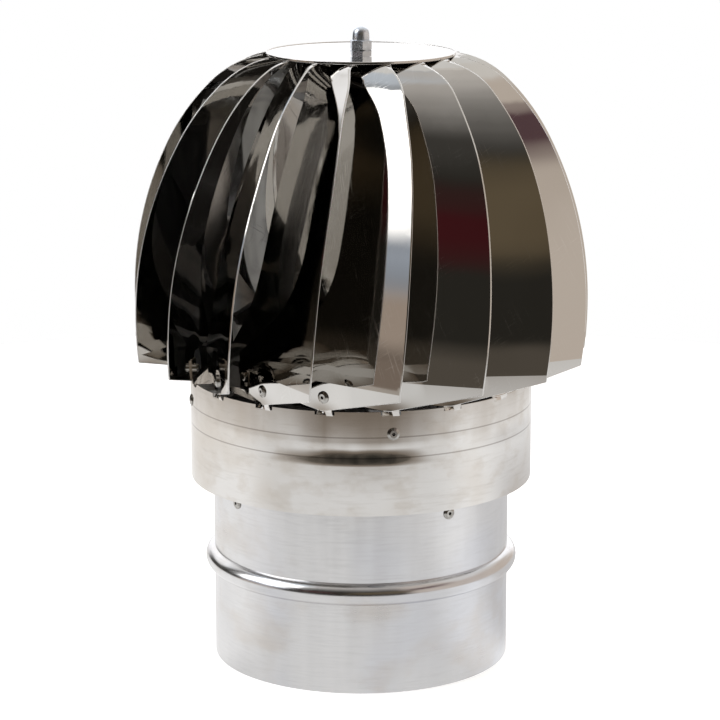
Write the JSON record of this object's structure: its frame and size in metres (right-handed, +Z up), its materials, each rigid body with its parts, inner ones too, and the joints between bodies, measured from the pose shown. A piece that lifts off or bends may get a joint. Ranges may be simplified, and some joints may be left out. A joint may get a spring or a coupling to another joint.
{
  "type": "roof turbine ventilator",
  "caption": "Wind-driven turbine ventilator: a domed head of curved sheet vanes turns on bearings in a round spigot pipe.",
  "frame": {"origin": "centre of the spigot's lower rim, on the axis of rotation", "axes": "+Z up along the axis of rotation; -Y is the front"},
  "size_m": [0.3036, 0.3025, 0.4222],
  "materials": {
    "mirror_stainless": "mirror-polished stainless sheet with fine wiping scratches",
    "polished_stainless": "bright rolled stainless sheet, slightly wavy",
    "bright_stainless": "bright annealed stainless sheet with light handling stains",
    "rivet_steel": "plain steel blind rivets",
    "galvanised_steel": "galvanised strip",
    "zinc_plating": "bright zinc plating with a bluish cast",
    "turned_steel": "turned mild steel",
    "spindle_steel": "ground steel bar",
    "spring_steel": "black phosphated spring steel",
    "bearing_steel": "ground and polished bearing steel",
    "seal_rubber": "black nitrile rubber",
    "cage_nylon": "natural nylon"
  },
  "bodies": {
    "base": {"base_pipe": "bright_stainless", "base_bracket": "galvanised_steel", "bracket_rivets": "rivet_steel", "bearing_housing": "turned_steel", "housing_screws": "zinc_plating", "housing_nuts": "zinc_plating", "housing_circlip": "spring_steel", "outer_spacer": "turned_steel", "lower_outer_ring": "bearing_steel", "upper_outer_ring": "bearing_steel", "lower_bearing_seals": "seal_rubber", "upper_bearing_seals": "seal_rubber"},
    "rotor": {"rotor_collar": "polished_stainless", "vane_01": "mirror_stainless", "vane_02": "mirror_stainless", "vane_03": "mirror_stainless", "vane_04": "mirror_stainless", "vane_05": "mirror_stainless", "vane_06": "mirror_stainless", "vane_07": "mirror_stainless", "vane_08": "mirror_stainless", "vane_09": "mirror_stainless", "vane_10": "mirror_stainless", "vane_11": "mirror_stainless", "vane_12": "mirror_stainless", "vane_13": "mirror_stainless", "vane_14": "mirror_stainless", "vane_15": "mirror_stainless", "vane_16": "mirror_stainless", "vane_17": "mirror_stainless", "vane_rivets": "rivet_steel", "top_disc": "mirror_stainless", "dome_nut": "zinc_plating", "backing_washer": "galvanised_steel", "spindle": "spindle_steel", "spindle_circlip": "spring_steel", "lower_inner_ring": "bearing_steel", "upper_inner_ring": "bearing_steel", "inner_spacer": "turned_steel", "thrust_sleeve": "turned_steel", "dust_cap": "galvanised_steel", "spider_lower_nut": "zinc_plating", "rotor_spider": "galvanised_steel", "spider_upper_nut": "zinc_plating", "spider_rivets": "rivet_steel"},
    "lower_cage": {"lower_ball_cage": "cage_nylon", "lower_balls": "bearing_steel"},
    "upper_cage": {"upper_ball_cage": "cage_nylon", "upper_balls": "bearing_steel"}
  },
  "joints": [
    {"name": "rotor_spin", "type": "hinge", "parent": "base", "child": "rotor", "pos_m": [0, 0, 0.15], "axis": [0, 0, 1], "continuous": true},
    {"name": "lower_cage_spin", "type": "hinge", "parent": "base", "child": "lower_cage", "pos_m": [0, 0, 0.1345], "axis": [0, 0, 1], "continuous": true},
    {"name": "upper_cage_spin", "type": "hinge", "parent": "base", "child": "upper_cage", "pos_m": [0, 0, 0.158], "axis": [0, 0, 1], "continuous": true}
  ],
  "couplings": [
    {"joint": "lower_cage_spin", "follows": "rotor_spin", "ratio": 0.371},
    {"joint": "upper_cage_spin", "follows": "rotor_spin", "ratio": 0.371}
  ]
}
